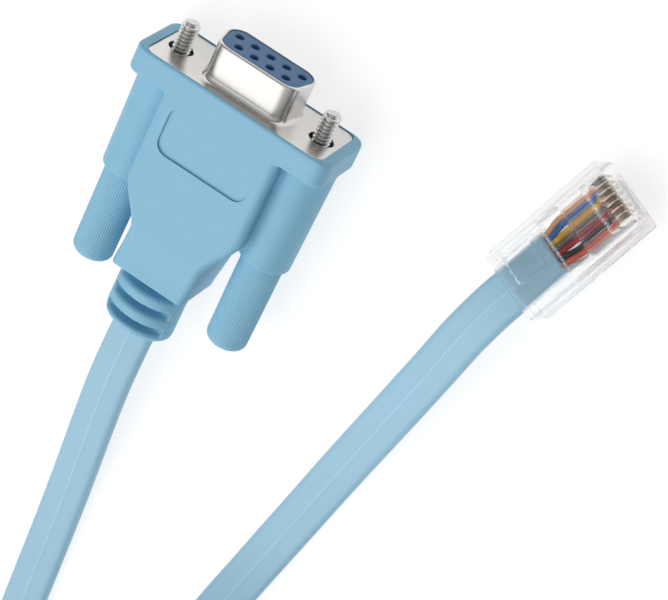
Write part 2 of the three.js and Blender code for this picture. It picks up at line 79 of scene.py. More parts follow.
# Flat cable
CABLE_WIDTH = 7.1
CABLE_THICKNESS = 2.4
CABLE_CORNER = 1.0
SEAM_HALF_WIDTH = 0.12
SEAM_HEIGHT = 0.06
SEAM_FOOT = 1.6
CABLE_STEP = 1.6
JACKET_IN_RELIEF = 1.0
JACKET_IN_PLUG = 8.0
COIL_X = 50
COIL_Y = -127
COIL_HEIGHT = 4.35
TURN_PITCH = 2.6
TURN_COUNT = 6.347
INNER_TURN_RADIUS = 29.2
COIL_INNER_END = -45
STEPS_PER_TURN = 48
TIE_ANGLES = (-100, 35)
TIE_WIDTH = 4
TIE_THICKNESS = 0.5
TIE_SLACK = 0.3
TIE_CORNER = 1.2
TIE_EDGE = 0.15
BUCKLE_DEPTH = 0.9
BUCKLE_HEIGHT = 4.2
BUCKLE_LAP = 0.6
RETURN_CENTRE = (55.8, -132.8)
RETURN_RADIUS = 21
RETURN_ANGLES = (-20, 0, 20)

# Moulded hood, in the connector's own frame: its origin in the middle of the plate's front face
RIM_PROUD = 0.2
FLANGE_WIDTH = 34.21
FLANGE_HEIGHT = 13.2
FLANGE_DEPTH = 4.2
FLANGE_CORNER = 2.2
FLANGE_FRONT_EDGE = 0.45
FLANGE_BACK_EDGE = 0.5
BODY_HALF_WIDTH = 10.2
BODY_EDGE = 1.1
TAPER_START = 18.6
TAPER_END = 27.2
NECK_HALF_WIDTH = 6.5
SLOPE_START = 23.5
NECK_HALF_HEIGHT = 5.3
NECK_END = 34
SLEEVE_RADIUS = 4.1
SLEEVE_ROOT_RADIUS = 4.45
SLEEVE_END = 22
SLEEVE_EDGE = 0.2
LABEL_HALF_WIDTH = 7.9
LABEL_FRONT = 4.9
LABEL_BACK = 13
LABEL_CORNER = 2
LABEL_DEPTH = 0.32
RELIEF_HALF_WIDTH = 5.7
RELIEF_HALF_HEIGHT = 4.5
RELIEF_END = 44
RELIEF_EDGE = 1.6
RELIEF_IN_NECK = 2
RELIEF_STEP = 0.1
RELIEF_SEGMENTS = 96
SLOT_COUNT = 3
SLOT_FIRST = 34.6
SLOT_PITCH = 3.2
SLOT_LENGTH = 1.3
SLOT_HALF_WIDTH = 4.9
SLOT_FLOOR = 1.7
RELIEF_RIB_ROUNDING = 0.8
RELIEF_RIB_SIDES = (0.2, 0.5)
TAIL_PULL = -1.2
PULL_START = 24
PULL_END = 38
HOOD_VOXEL = 0.2
HOOD_SMOOTHING = 2

# Metal face
PLATE_LENGTH = 30.81
PLATE_WIDTH = 12.5
PLATE_CORNER = 1.6
PLATE_THICKNESS = 0.8
PLATE_EDGE = 0.12
PLATE_HOLE = 1.95
PLATE_HOLE_EDGE = 0.1
SCREW_ROOM = 2.1
PLATE_FIT = 0.04
PLATE_SEAT_GAP = 0.15
SHELL_LENGTH = 16.33
SHELL_DEPTH = 7.9
SHELL_CORNER = 2.6
SHELL_SLOPE = math.radians(10)
SHELL_REACH = 6.12
SHELL_WALL = 0.4
SHELL_LIP = 0.35
SHELL_LIP_EDGE = 0.03
SHELL_FLARE = 0.85

# Insulator
INSULATOR_SET_BACK = 0.12
INSULATOR_GAP = 0.04
INSULATOR_EDGE = 0.12
WIDE_ROW = 5
NARROW_ROW = 4
CONTACT_PITCH = 2.77
ROW_PITCH = 2.84
CONTACT_HOLE = 0.68
CONTACT_SINK = 0.82
CONTACT_SINK_DEPTH = 0.14
CONTACT_SINK_EDGE = 0.1

# Thumbscrews
THREAD_RADIUS = 1.42
THREAD_DEPTH = 0.42
THREAD_PITCH = 0.635
THREAD_TIP = 4.75
THREAD_END = 2.2
THREAD_FLANK = (0.12, 0.85)
THREAD_CUTS = 150
POINT_DEPTH = 0.45
POINT_LENGTH = 0.7
SHANK_RADIUS = 1.05
SHANK_BACK = 15
SHANK_IN_THREAD = 0.3
KNOB_FRONT_RADIUS = 3.45
KNOB_BACK_RADIUS = 3.25
KNOB_FRONT = 9.5
KNOB_BACK = 37.9
KNOB_ROUNDING = 1.3
KNOB_STEPS = 24
KNOB_GAP = 0.2
KNOB_FRONT_GAP = 0.3
BORE_GAP = 0.1
BORE_DEPTH = 3
KNOB_RIB_COUNT = 54
KNOB_RIB_DEPTH = 0.07
KNOB_RIB_INNER = 0.6
KNOB_RIB_RUN_OUT = (0.5, 1.6)

# Plug, in its own frame: its back face at y = 0, its nose ahead on +Y, its contacts on top
PLUG_WIDTH = 11.68
PLUG_HEIGHT = 6.5
PLUG_LENGTH = 21.46
PLUG_PLACE = (48.04, 16.94, 8.57)
PLUG_HEADING = math.radians(-18.6)
PLUG_PITCH = math.radians(-9.5)
PLUG_ROLL = math.radians(-16.6)
PLUG_CORNER = 0.55
PLUG_EDGE = 0.3
MOUTH_WIDTH = 8
MOUTH_HEIGHT = 3.2
MOUTH_DEPTH = 8.6
MOUTH_CORNER = 0.5
MOUTH_EDGE = 0.3
CHAMBER_HALF_WIDTH = 4.2
CHAMBER_END = 20.4
CHAMBER_LOW = -1.3
CHAMBER_HIGH = -0.1
JACKET_BAR = (-3.6, 1.2, 2, 7, 2.3)
WIRE_BAR = (-4.4, 4.4, 9.2, 13.2, 0.7)
FRONT_BAR = (-4, 4, 17.3, 18.5, 1)
BAR_EDGE = 0.25
BLADE_THICKNESS = 0.35
BLADE_ROOM = 0.1
BLADE_BACK = 19
BLADE_FRONT = 20.9
BLADE_LOW = 0.05
BLADE_TOP = 2.35
BLADE_CORNER = 0.8
LATCH_ROOT = 20.9
LATCH_THICKNESS = 0.95
LATCH_RISE = 0.2
LATCH_BEND = 1
LATCH_BEND_UNDER = 2
LATCH_FILLET = 1.6
LATCH_ARMS = ((12.8, 6), (6.3, 3.25))
LATCH_IN_BODY = 0.3
LATCH_EDGE = 0.12
WIRE_PITCH = 1.02
WIRE_PITCH_IN_CABLE = 0.86
WIRE_RADIUS = 0.47
WIRE_COUNT = 8
WIRE_SEGMENTS = 24
WIRE_STEP = 0.4
WIRE_GAP = 0.2
WIRE_LEAD = 0.6
WIRE_BEND = 11
WIRE_STRAIGHT = 13
WIRE_END = 20.1
WIRE_DROP = 0.7
WIRE_SWAY = (0.02, -0.04, 0.06, 0.02, -0.06, 0.1, -0.06, 0.02)

plug_place = (
    Matrix.Translation(PLUG_PLACE)
    @ Matrix.Rotation(PLUG_HEADING, 4, "Z")
    @ Matrix.Rotation(PLUG_PITCH, 4, "X")
    @ Matrix.Rotation(PLUG_ROLL, 4, "Y")
)

# The cable's route from the strain relief down to the surface and on edge to the coil: x, y, z, roll
ROUTE_FROM_HOOD = [
    (-1.2, -25.36, 6.6, 0),
    (-1.35, -31, 6.5, 0),
    (-1.5, -38, 5.8, 0),
    (-1.55, -46, 4.4, 0),
    (-1.5, -54, 3, 0),
    (-1.35, -62, 1.95, 0),
    (-1.1, -70, 1.45, 0),
    (-0.8, -78, 1.27, 0),
    (-0.5, -85, 1.3, 0),
    (-0.1, -91, 2.1, 18),
    (0.4, -97, 3.2, 42),
    (1, -103, 3.95, 66),
    (1.7, -109, 4.3, 84),
    (2.4, -116, 4.35, 90),
    (3.3, -125.5, 4.35, 90),
]

# Its route from inside the plug down to the surface, over the coil in a low hump and down inside it
ROUTE_FROM_PLUG = [
    (50.56, 24.42, 7.25, 16.6),
    (49.3, 20.68, 7.91, 16.6),
    (48.04, 16.94, 8.57, 16.6),
    (46.78, 13.2, 9.1, 16),
    (44.9, 6.5, 8.9, 12),
    (43.1, -1.5, 7.6, 8),
    (41.1, -10, 5.7, 4),
    (39.2, -18, 3.9, 2),
    (37.3, -26, 2.4, 0),
    (35.5, -34, 1.5, 0),
    (33.8, -42, 1.27, 0),
    (32.2, -49.5, 1.4, 0),
    (30.8, -56.5, 2.4, 0),
    (29.4, -64, 4.5, 0),
    (28.8, -71, 7, 0),
    (29.3, -78, 9.1, 0),
    (31, -84.5, 9.6, 0),
    (35.2, -92.3, 9.7, 0),
    (40, -98.4, 9.65, 0),
    (45.6, -103.8, 9.5, 4),
    (51.8, -108.3, 8.8, 20),
    (58.6, -111.6, 7.6, 42),
    (65, -114.6, 6.2, 64),
    (71, -119, 5, 82),
    (75.4, -125.4, 4.4, 90),
]


class Value:
    """One socket of a finish. Arithmetic on it adds Math nodes."""

    def __init__(self, finish, socket):
        self.finish = finish
        self.socket = socket

    def math(self, operation, *others):
        inputs = dict(enumerate((self, *others)))
        return self.finish.node("ShaderNodeMath", {"operation": operation}, inputs)

    def __add__(self, other):
        return self.math("ADD", other)

    def __mul__(self, other):
        return self.math("MULTIPLY", other)

    def __abs__(self):
        return self.math("ABSOLUTE")

    def below(self, edge, blur):
        """1 where the value is under the edge, 0 above it, with a soft border."""
        settings = {"interpolation_type": "SMOOTHSTEP"}
        borders = {"From Min": edge - blur, "From Max": edge + blur, "To Min": 1.0, "To Max": 0.0}
        return self.finish.node("ShaderNodeMapRange", settings, {"Value": self, **borders})


class Finish:
    """A procedural material under construction."""

    def __init__(self, name, **fixed):
        self.material = bpy.data.materials.new(name)
        self.material.use_nodes = True
        self.tree = self.material.node_tree
        self.surface = self.tree.nodes["Principled BSDF"]
        for socket, value in fixed.items():
            self.surface.inputs[socket.replace("_", " ")].default_value = value
        coordinates = self.tree.nodes.new("ShaderNodeTexCoord")
        self.place = Value(self, coordinates.outputs["Object"])

    def node(self, kind, settings, inputs, output=0):
        made = self.tree.nodes.new(kind)
        for name, value in settings.items():
            setattr(made, name, value)
        for name, value in inputs.items():
            if isinstance(value, Value):
                self.tree.links.new(value.socket, made.inputs[name])
            else:
                made.inputs[name].default_value = value
        return Value(self, made.outputs[output])

    def noise(self, size_mm, detail=2.0, roughness=0.5, stretch=None):
        """Noise from 0 to 1 with blotches of a size, in millimetres, drawn out along an axis or not."""
        place = self.place
        if stretch:
            place = self.node("ShaderNodeMapping", {}, {"Vector": place, "Scale": stretch})
        inputs = {"Vector": place, "Scale": 1 / (size_mm * MM), "Detail": detail, "Roughness": roughness}
        return self.node("ShaderNodeTexNoise", {}, inputs)

    def attribute(self, name):
        return self.node("ShaderNodeAttribute", {"attribute_name": name}, {}, "Fac")

    def blend(self, factor, low, high):
        """A colour between two others."""
        inputs = {0: factor, 6: low, 7: high}
        return self.node("ShaderNodeMix", {"data_type": "RGBA"}, inputs, 2)

    def put(self, socket, value):
        self.tree.links.new(value.socket, self.surface.inputs[socket])

    def tint(self, factor, colour, low, high):
        """The base colour, between a darker and a lighter share of one colour."""
        self.put("Base Color", self.blend(factor, shaded(colour, low), shaded(colour, high)))

    def bump(self, height, distance_mm, strength=1.0):
        inputs = {"Height": height, "Distance": distance_mm * MM, "Strength": strength}
        self.put("Normal", self.node("ShaderNodeBump", {}, inputs))


def linear(red, green, blue):
    """A colour's linear values from the eight-bit ones that a colour picker shows."""
    spread = [c / 255 for c in (red, green, blue)]
    return (*[c / 12.92 if c <= 0.04045 else ((c + 0.055) / 1.055) ** 2.4 for c in spread], 1.0)


def shaded(colour, share):
    return (*[min(1.0, c * share) for c in colour[:3]], 1.0)


def moulded_plastic(name, colour, grain_mm=0.11, relief_mm=0.012):
    """Matte moulded vinyl: spark-eroded grain, faint mottling and a slightly uneven gloss."""
    finish = Finish(name, Roughness=0.5, IOR=1.5)
    grain = finish.noise(grain_mm, 3.0, 0.6)
    mottle = finish.noise(2.5, 3.0)
    tone = mottle * 0.6 + grain * 0.4
    finish.tint(tone, colour, 0.94, 1.06)
    finish.put("Roughness", grain * 0.12 + 0.46)
    finish.bump(grain, relief_mm)
    return finish.material


def ribbed_plastic(name, colour):
    """The thumbscrews' vinyl: as the hood's, with fine drag lines along the ribs."""
    finish = Finish(name, Roughness=0.5, IOR=1.5)
    drag = finish.noise(0.16, 2.0, 0.5, stretch=(1, 0.05, 1))
    grain = finish.noise(0.1, 2.0, 0.6)
    finish.tint(drag, colour, 0.93, 1.05)
    finish.put("Roughness", grain * 0.12 + 0.44)
    finish.bump(drag * 0.6 + grain * 0.4, 0.014)
    return finish.material


def cable_vinyl(name, colour):
    """Extruded flat jacket: a fine raised centre seam, paler than the rest, and faint draw lines."""
    finish = Finish(name, Roughness=0.4, IOR=1.5)
    across = abs(finish.attribute("across"))
    seam = across.below(SEAM_HALF_WIDTH * 0.8, 0.06)
    lines = finish.node(
        "ShaderNodeTexNoise",
        {"noise_dimensions": "1D"},
        {"W": finish.attribute("across"), "Scale": 9.0, "Detail": 2.0},
    )
    mottle = finish.noise(3.0, 2.0)
    grain = finish.noise(0.09, 2.0, 0.6)
    tone = finish.blend(mottle * 0.6 + lines * 0.4, shaded(colour, 0.955), shaded(colour, 1.045))
    finish.put("Base Color", finish.blend(seam, tone, shaded(colour, 1.18)))
    finish.put("Roughness", grain * 0.14 + 0.36)
    finish.bump(grain * 0.5 + lines * 0.5, 0.008)
    return finish.material


def plated_metal(name, colour, roughness, grain_mm, relief_mm, stretch=None):
    """Bright plating over sheet or turned steel, with a fine grain and uneven polish."""
    finish = Finish(name, Metallic=1.0)
    grain = finish.noise(grain_mm, 3.0, 0.6, stretch)
    smear = finish.noise(1.8, 3.0, 0.6)
    finish.tint(smear, colour, 0.94, 1.04)
    finish.put("Roughness", grain * 0.1 + smear * 0.08 + (roughness - 0.09))
    finish.bump(grain, relief_mm)
    return finish.material


def satin_blue(name, colour):
    """The insulator's glass-filled resin."""
    finish = Finish(name, Roughness=0.42, IOR=1.55)
    fibres = finish.noise(0.12, 3.0, 0.65)
    finish.tint(fibres, colour, 0.88, 1.12)
    finish.put("Roughness", fibres * 0.15 + 0.38)
    finish.bump(fibres, 0.008)
    return finish.material


def clear_plastic(name):
    """Polished polycarbonate with the faint waviness of a moulded face. It lets part of the light straight
    through, so that what it holds stays bright."""
    finish = Finish(name, Transmission_Weight=1.0, IOR=1.5, Roughness=0.02, Alpha=0.52)
    finish.surface.inputs["Base Color"].default_value = (0.98, 0.98, 0.985, 1)
    flow = finish.noise(1.6, 2.0)
    finish.put("Roughness", flow * 0.03 + 0.01)
    finish.bump(flow, 0.02, 0.5)
    return finish.material


def wire_insulation(name, colour):
    """A conductor's glossy insulation with a faintly uneven tone."""
    finish = Finish(name, Roughness=0.35, IOR=1.5)
    lines = finish.noise(0.25, 2.0, 0.5)
    finish.tint(lines, colour, 0.9, 1.1)
    finish.put("Roughness", lines * 0.1 + 0.3)
    return finish.material


def tie_vinyl(name, colour):
    """Dark soft vinyl with slight ripples."""
    finish = Finish(name, Roughness=0.45, IOR=1.5)
    ripple = finish.noise(0.4, 2.0, 0.5)
    finish.tint(ripple, colour, 0.8, 1.3)
    finish.put("Roughness", ripple * 0.15 + 0.38)
    finish.bump(ripple, 0.03)
    return finish.material


def light_table(name):
    """The studio floor, lit from below as well, so that shadows on it stay faint."""
    finish = Finish(name, Roughness=0.9, Emission_Color=(1, 1, 1, 1), Emission_Strength=FLOOR_GLOW)
    fibre = finish.noise(3.0, 3.0)
    grey = (FLOOR_GREY, FLOOR_GREY, FLOOR_GREY, 1)
    finish.tint(fibre, grey, 0.98, 1.02)
    return finish.material


HOOD_BLUE = linear(130, 184, 211)
CABLE_BLUE = linear(149, 192, 214)
hood_finish = moulded_plastic("hood_vinyl", HOOD_BLUE)
knob_finish = ribbed_plastic("knob_vinyl", HOOD_BLUE)
cable_finish = cable_vinyl("cable_vinyl", CABLE_BLUE)
steel_finish = plated_metal("tin_plate", linear(222, 219, 216), 0.26, 0.12, 0.004)
screw_finish = plated_metal("nickel_plate", linear(215, 213, 210), 0.2, 0.2, 0.003, (1, 0.2, 1))
insulator_finish = satin_blue("insulator_resin", linear(63, 111, 156))
gold_finish = plated_metal("gold_plate", linear(226, 196, 130), 0.24, 0.1, 0.003)
blade_finish = plated_metal("flash_gold_plate", linear(238, 232, 216), 0.3, 0.1, 0.003)
clear_finish = clear_plastic("clear_polycarbonate")
tie_finish = tie_vinyl("tie_vinyl", linear(34, 35, 37))
WIRE_COLOURS = [
    (240, 176, 130),
    (52, 116, 190),
    (236, 180, 66),
    (112, 110, 104),
    (176, 30, 50),
    (26, 44, 32),
    (226, 104, 82),
    (205, 205, 206),
]


def box_bmesh(x_low, x_high, y_low, y_high, z_low, z_high):
    bm = bmesh.new()
    bmesh.ops.create_cube(bm, size=1)
    bmesh.ops.scale(bm, vec=(x_high - x_low, y_high - y_low, z_high - z_low), verts=bm.verts)
    middle = ((x_low + x_high) / 2, (y_low + y_high) / 2, (z_low + z_high) / 2)
    bmesh.ops.translate(bm, vec=middle, verts=bm.verts)
    return bm


def bevel(bm, edges, offset, segments=4):
    bmesh.ops.bevel(
        bm,
        geom=edges,
        offset=offset,
        offset_type="OFFSET",
        segments=segments,
        profile=0.5,
        affect="EDGES",
        material=-1,
        clamp_overlap=True,
    )


def edges_along(bm, axis):
    lines = {e: (e.verts[0].co - e.verts[1].co).normalized() for e in bm.edges}
    return [e for e, line in lines.items() if abs(getattr(line, axis)) > ALONG]


def edges_at_y(bm, y):
    return [e for e in bm.edges if all(abs(v.co.y - y) < EDGE_TOLERANCE for v in e.verts)]


def rounded_bar(width, height, y_low, y_high, corner, low_edge=0.0, high_edge=0.0, segments=8):
    """A bar along Y with a rounded rectangular section and softened ends."""
    bm = box_bmesh(-width / 2, width / 2, y_low, y_high, -height / 2, height / 2)
    bevel(bm, edges_along(bm, "y"), corner, segments)
    for y, edge in ((y_low, low_edge), (y_high, high_edge)):
        if edge:
            bevel(bm, edges_at_y(bm, y), edge, 4)
    return bm


def turned(profile, segments):
    """A solid of revolution about the Y axis, from pairs of radius and place."""
    bm = bmesh.new()
    points = [bm.verts.new((radius, y, 0)) for radius, y in profile]
    line = [bm.edges.new(pair) for pair in zip(points, points[1:])]
    bmesh.ops.spin(
        bm,
        geom=points + line,
        cent=(0, 0, 0),
        axis=(0, 1, 0),
        angle=2 * math.pi,
        steps=segments,
        use_merge=True,
    )
    bmesh.ops.remove_doubles(bm, verts=bm.verts, dist=1e-5)
    bmesh.ops.recalc_face_normals(bm, faces=bm.faces)
    return bm


def rod(radius, y_low, y_high, segments):
    return turned([(0, y_low), (radius, y_low), (radius, y_high), (0, y_high)], segments)


def extruded(outline, lift):
    """A prism: the outline's places drawn out along a vector."""
    bm = bmesh.new()
    face = bm.faces.new([bm.verts.new(place) for place in outline])
    grown = bmesh.ops.extrude_face_region(bm, geom=[face])["geom"]
    bmesh.ops.translate(bm, vec=lift, verts=[v for v in grown if isinstance(v, bmesh.types.BMVert)])
    bmesh.ops.recalc_face_normals(bm, faces=bm.faces)
    return bm


def capped_tube(rings):
    """A solid from rings of places: each is joined to the next, and both ends are closed."""
    bm = bmesh.new()
    rings = [[bm.verts.new(place) for place in ring] for ring in rings]
    for first, second in zip(rings, rings[1:]):
        for k in range(len(first)):
            bm.faces.new((first[k - 1], first[k], second[k], second[k - 1]))
    bm.faces.new(rings[0])
    bm.faces.new(list(reversed(rings[-1])))
    bmesh.ops.recalc_face_normals(bm, faces=bm.faces)
    return bm


def moved(bm, matrix):
    bmesh.ops.transform(bm, matrix=matrix, verts=bm.verts)
    return bm


def shifted(bm, x=0.0, y=0.0, z=0.0):
    return moved(bm, Matrix.Translation((x, y, z)))


def joined(parts):
    """One bmesh that holds several."""
    whole = bmesh.new()
    for part in parts:
        mesh = bpy.data.meshes.new("part")
        part.to_mesh(mesh)
        part.free()
        whole.from_mesh(mesh)
        bpy.data.meshes.remove(mesh)
    return whole


def loose_object(bm, name="tool"):
    mesh = bpy.data.meshes.new(name)
    bm.to_mesh(mesh)
    bm.free()
    made = bpy.data.objects.new(name, mesh)
    scene.collection.objects.link(made)
    return made


def modified(bm, settings, tools=()):
    """The bmesh after modifiers: pairs of a kind and its settings."""
    made = loose_object(bm)
    for kind, values in settings:
        modifier = made.modifiers.new(kind, kind)
        for key, value in values.items():
            setattr(modifier, key, value)
    graph = bpy.context.evaluated_depsgraph_get()
    mesh = bpy.data.meshes.new_from_object(made.evaluated_get(graph))
    result = bmesh.new()
    result.from_mesh(mesh)
    for used in (made, *tools):
        old = used.data
        bpy.data.objects.remove(used)
        bpy.data.meshes.remove(old)
    bpy.data.meshes.remove(mesh)
    return result


def cut(bm, tool_parts):
    """The bmesh without what the tools take up. Tools of one list don't overlap."""
    tool = loose_object(joined(tool_parts))
    settings = {"operation": "DIFFERENCE", "solver": "MANIFOLD", "object": tool}
    return modified(bm, [("BOOLEAN", settings)], [tool])


def united(bm, other):
    """One solid from two that overlap."""
    tool = loose_object(other)
    settings = {"operation": "UNION", "solver": "MANIFOLD", "object": tool}
    return modified(bm, [("BOOLEAN", settings)], [tool])


def finished(name, bm, finish, nodes, body="root", crease=35, place=None):
    """A piece of the object from a bmesh in millimetres."""
    if place is not None:
        moved(bm, place)
    bmesh.ops.scale(bm, vec=(MM, MM, MM), verts=bm.verts)
    made = loose_object(bm, name)
    made.data.materials.append(finish)
    made.data.shade_smooth()
    made.data.set_sharp_from_angle(angle=math.radians(crease))
    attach(made, body)
    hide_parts(*nodes)
    return made


def smoothstep(value, low, high):
    share = min(1.0, max(0.0, (value - low) / (high - low)))
    return share * share * (3 - 2 * share)


def add_camera():
    back = CAMERA_BACK.normalized()
    right = (CAMERA_RIGHT - CAMERA_RIGHT.dot(back) * back).normalized()
    turn = Matrix((right, back.cross(right), back)).transposed().to_4x4()
    lens = bpy.data.cameras.new("camera")
    lens.sensor_width = SENSOR_WIDTH
    lens.lens = CAMERA_LENS
    lens.clip_start = 0.01
    camera = bpy.data.objects.new("camera", lens)
    camera.matrix_world = Matrix.Translation(Vector(CAMERA_PLACE) * MM) @ turn
    scene.collection.objects.link(camera)
    scene.camera = camera


def between(before, start, end, after, share):
    """A place on the centripetal Catmull-Rom curve from start to end."""
    gaps = [math.sqrt((b - a).length) for a, b in ((before, start), (start, end), (end, after))]
    a, b, c = gaps
    lead = (end * a * a - before * b * b + start * (2 * a * a + 3 * a * b + b * b)) / (3 * a * (a + b))
    tail = (start * c * c - after * b * b + end * (2 * c * c + 3 * c * b + b * b)) / (3 * c * (c + b))
    rest = 1 - share
    return (
        start * rest**3
        + lead * 3 * rest * rest * share
        + tail * 3 * rest * share * share
        + end * share**3
    )


def smooth_route(rows, spacing):
    """Places and rolls a small step apart along a curve through the rows."""
    points = [Vector(row[:3]) for row in rows]
    rolls = [row[3] for row in rows]
    points = [2 * points[0] - points[1], *points, 2 * points[-1] - points[-2]]
    places = []
    for i in range(len(rows) - 1):
        steps = max(1, round((points[i + 2] - points[i + 1]).length / spacing))
        for k in range(steps):
            share = k / steps
            roll = rolls[i] + (rolls[i + 1] - rolls[i]) * share
            places.append((between(*points[i : i + 4], share), roll))
    places.append((points[-2], rolls[-1]))
    return places


def coil_rows():
    """The spare cable on edge: turns wound inwards one beside the other, then back along a small circle."""
    rows = []
    steps = round(TURN_COUNT * STEPS_PER_TURN)
    for k in range(2, steps + 1):
        turns_left = TURN_COUNT * (1 - k / steps)
        radius = INNER_TURN_RADIUS + TURN_PITCH * turns_left
        angle = math.radians(COIL_INNER_END) - 2 * math.pi * turns_left
        rows.append((COIL_X + radius * math.cos(angle), COIL_Y + radius * math.sin(angle), COIL_HEIGHT, 90))
    for degrees in RETURN_ANGLES:
        angle = math.radians(degrees)
        x = RETURN_CENTRE[0] + RETURN_RADIUS * math.cos(angle)
        y = RETURN_CENTRE[1] + RETURN_RADIUS * math.sin(angle)
        rows.append((x, y, COIL_HEIGHT, 90))
    return rows


def cable_section():
    """The flat cable's outline, with a low ridge down the middle of both broad faces."""
    half = CABLE_WIDTH / 2 - CABLE_CORNER
    top = CABLE_THICKNESS / 2
    seam_foot = SEAM_HALF_WIDTH * SEAM_FOOT
    side = [(seam_foot, top), (half / 2, top)]
    for k in range(7):
        angle = math.radians(90 - 30 * k)
        x = half + CABLE_CORNER * math.cos(angle)
        z = math.copysign(top - CABLE_CORNER, math.sin(angle)) if abs(math.sin(angle)) > 0.01 else 0
        side.append((x, z + CABLE_CORNER * math.sin(angle)))
    side += [(half / 2, -top), (seam_foot, -top)]
    ridge = top + SEAM_HEIGHT
    return [(0, ridge), *side, (0, -ridge), *[(-x, z) for x, z in reversed(side)]]


def rings_along(line, section):
    """The section's points carried along a line of places and rolls: one ring at each place."""
    rings = []
    for i, (place, roll) in enumerate(line):
        ahead = (line[min(i + 1, len(line) - 1)][0] - line[max(i - 1, 0)][0]).normalized()
        side = ahead.cross(UP).normalized()
        side.rotate(Matrix.Rotation(math.radians(roll), 3, ahead))
        over = side.cross(ahead)
        rings.append([place + side * x + over * z for x, z in section])
    return rings


def cable():
    """One jacket from the strain relief, round the coil and into the plug, and the line that it follows."""
    rows = ROUTE_FROM_HOOD + coil_rows()
    rows += [(x, y, z, 180 - roll) for x, y, z, roll in reversed(ROUTE_FROM_PLUG)]
    x, y, z, roll = ROUTE_FROM_HOOD[0]
    rows[0] = (x, y + JACKET_IN_RELIEF, z, roll)
    line = smooth_route(rows, CABLE_STEP)
    section = cable_section()
    first, *others = rings_along(line, section)
    bm = bmesh.new()
    across = bm.verts.layers.float.new("across")
    ring = [bm.verts.new(place) for place in first]
    loop = [bm.edges.new((ring[k - 1], ring[k])) for k in range(len(ring))]
    bm.faces.new(ring)
    for vert, (x, _) in zip(ring, section):
        vert[across] = x
    order = {vert: k for k, vert in enumerate(ring)}
    for places in others:
        grown = bmesh.ops.extrude_edge_only(bm, edges=loop)["geom"]
        partner = {}
        for vert in [part for part in grown if isinstance(part, bmesh.types.BMVert)]:
            for edge in vert.link_edges:
                other = edge.other_vert(vert)
                if other in order:
                    partner[vert] = order[other]
        for vert, k in partner.items():
            vert.co = places[k]
            vert[across] = section[k][0]
        order = partner
        edges = [part for part in grown if isinstance(part, bmesh.types.BMEdge)]
        loop = [edge for edge in edges if all(vert in order for vert in edge.verts)]
    bm.faces.new(sorted(order, key=order.get))
    bmesh.ops.recalc_face_normals(bm, faces=bm.faces)
    return bm, [place * MM for place, _ in line]


def pulled(behind):
    """How far the cable draws the hood's tail sideways."""
    return TAIL_PULL * smoothstep(behind, PULL_START, PULL_END)


def hood_body():
    """Central body: a rounded section that narrows and thins towards the neck."""
    bm = rounded_bar(2 * BODY_HALF_WIDTH, FLANGE_HEIGHT, -NECK_END, -FLANGE_DEPTH / 2, BODY_EDGE, segments=8)
    bmesh.ops.subdivide_edges(bm, edges=edges_along(bm, "y"), cuts=60, use_grid_fill=True)
    for vert in bm.verts:
        behind = -vert.co.y
        narrowing = smoothstep(behind, TAPER_START, TAPER_END)
        thinning = smoothstep(behind, SLOPE_START, NECK_END)
        vert.co.x += pulled(behind) - math.copysign(BODY_HALF_WIDTH - NECK_HALF_WIDTH, vert.co.x) * narrowing
        vert.co.z -= math.copysign(FLANGE_HEIGHT / 2 - NECK_HALF_HEIGHT, vert.co.z) * thinning
    return bm


def sleeve(side):
    """The tube round one thumbscrew's knob, a little wider inside the flange."""
    profile = [
        (0, -SLEEVE_END),
        (SLEEVE_RADIUS - SLEEVE_EDGE, -SLEEVE_END),
        (SLEEVE_RADIUS, -SLEEVE_END + SLEEVE_EDGE),
        (SLEEVE_ROOT_RADIUS, -FLANGE_DEPTH / 2),
        (0, -FLANGE_DEPTH / 2),
    ]
    return shifted(turned(profile, segments=96), side * SCREW_X)


def relief_inset(behind):
    """How far the relief's surface is drawn in, and whether the place is in a slot."""
    for i in range(SLOT_COUNT):
        past = behind - SLOT_FIRST - i * SLOT_PITCH
        if 0 <= past <= SLOT_LENGTH:
            return 0, True
        if SLOT_LENGTH < past < SLOT_LENGTH + RELIEF_RIB_ROUNDING:
            rest = 1 - (past - SLOT_LENGTH) / RELIEF_RIB_ROUNDING
            return RELIEF_RIB_ROUNDING * (1 - math.sqrt(1 - rest * rest)), False
    return 0, False


def relief_ring(behind):
    """The relief's oval at a distance behind the plate, flat where a slot crosses it."""
    inset, in_slot = relief_inset(behind)
    rest = max(0, 1 - (RELIEF_END - behind) / RELIEF_EDGE)
    end_inset = RELIEF_EDGE * (1 - math.sqrt(1 - rest * rest))
    ring = []
    for k in range(RELIEF_SEGMENTS):
        angle = 2 * math.pi * k / RELIEF_SEGMENTS
        drawn = end_inset + inset * smoothstep(abs(math.sin(angle)), *RELIEF_RIB_SIDES)
        x = (RELIEF_HALF_WIDTH - drawn) * math.cos(angle)
        z = (RELIEF_HALF_HEIGHT - drawn) * math.sin(angle)
        if in_slot and abs(x) < SLOT_HALF_WIDTH and abs(z) > SLOT_FLOOR:
            z = math.copysign(SLOT_FLOOR, z)
        ring.append((x + pulled(behind), -behind, z))
    return ring


def strain_relief():
    """An oval stub with flat-bottomed slots across its two broad faces; each rib's front edge is round."""
    front = NECK_END - RELIEF_IN_NECK
    count = round((RELIEF_END - front) / RELIEF_STEP)
    return capped_tube([relief_ring(front + k * RELIEF_STEP) for k in range(count + 1)])


def knob_room(side):
    room = rod(KNOB_FRONT_RADIUS + KNOB_GAP, -SLEEVE_END - OVERCUT, -KNOB_FRONT + KNOB_FRONT_GAP, 64)
    return shifted(room, side * SCREW_X)


def screw_hole(side):
    return shifted(rod(SCREW_ROOM, -KNOB_FRONT, RIM_PROUD + OVERCUT, 48), side * SCREW_X)


